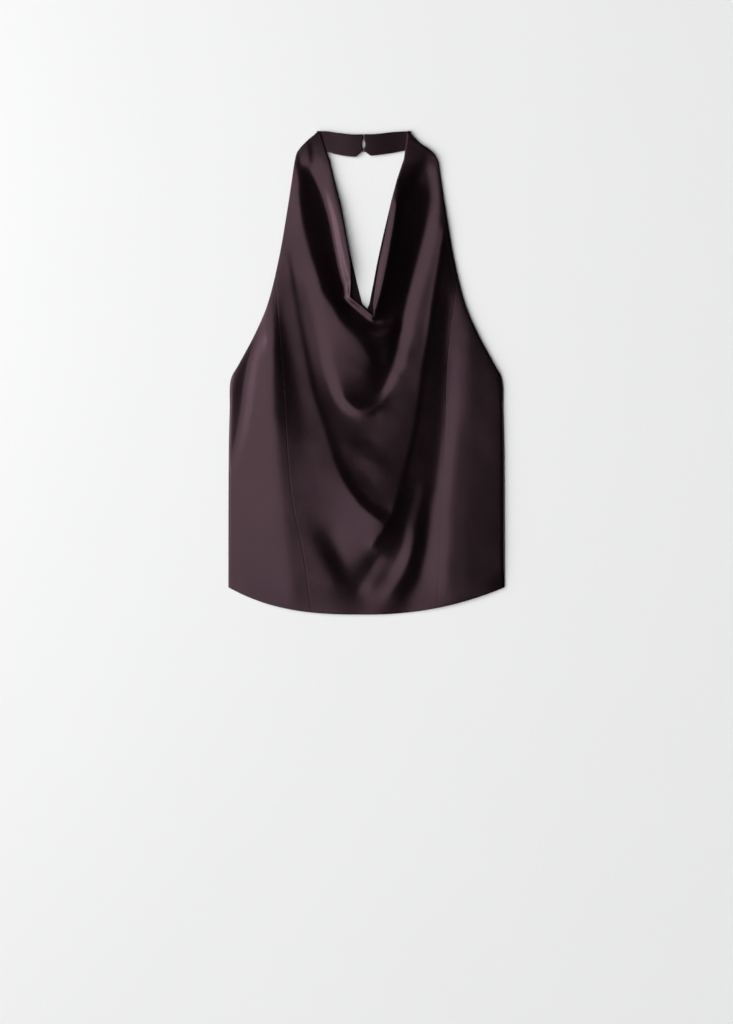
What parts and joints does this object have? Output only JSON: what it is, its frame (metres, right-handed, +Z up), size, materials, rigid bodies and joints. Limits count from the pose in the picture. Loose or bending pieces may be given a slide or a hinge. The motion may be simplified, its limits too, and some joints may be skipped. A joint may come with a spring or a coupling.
{
  "type": "cowl neck halter top",
  "caption": "Halter top of satin laid flat with its front up: cowl front in swags, princess seams, low back and a neckband that fastens at the nape with loops and covered buttons.",
  "frame": {"origin": "centre of the garment's outline, on the surface that it lies on", "axes": "+Z up from the surface through the front, +Y from the hem towards the neckband, +X towards the right of a viewer who looks at the front"},
  "size_m": [0.4, 0.7001, 0.0156],
  "materials": {
    "satin": "plum satin with a soft broad shine",
    "inner_satin": "duller reverse of the same satin",
    "thread": "matte dark thread"
  },
  "bodies": {
    "root": {"back": "satin", "front_center": "satin", "side_front_left": "satin", "side_front_right": "satin", "neckband_left": "satin", "neckband_right": "satin", "neck_facing": "inner_satin", "button_upper": "satin", "button_lower": "satin", "loop_upper": "thread", "loop_lower": "thread"}
  },
  "joints": []
}
